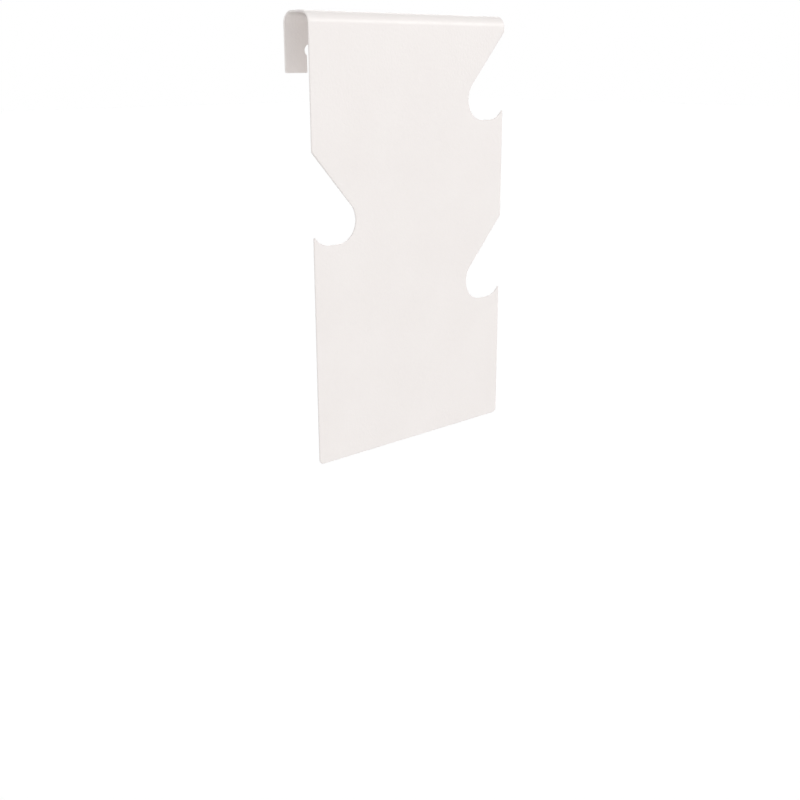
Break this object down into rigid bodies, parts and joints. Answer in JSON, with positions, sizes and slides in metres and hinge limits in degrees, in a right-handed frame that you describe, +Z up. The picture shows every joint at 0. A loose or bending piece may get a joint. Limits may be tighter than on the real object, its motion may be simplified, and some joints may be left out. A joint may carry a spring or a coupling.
{
  "type": "door hook",
  "caption": "White powder-coated steel sheet folded over a door's top edge, with ramped notches cut into the sides of its hanging plate that leave upturned lips for clothes and bags.",
  "frame": {"origin": "middle of the strip's flat underside, where the hook sits on the door's top edge", "axes": "+X along the door's edge to the right, seen from the front; +Y from the front plate back to the rear flap, through the door; +Z up"},
  "size_m": [0.15, 0.022, 0.25],
  "materials": {
    "powder_coat": "satin white powder coat with a fine orange peel"
  },
  "bodies": {
    "root": {"door_hook": "powder_coat"}
  },
  "joints": []
}
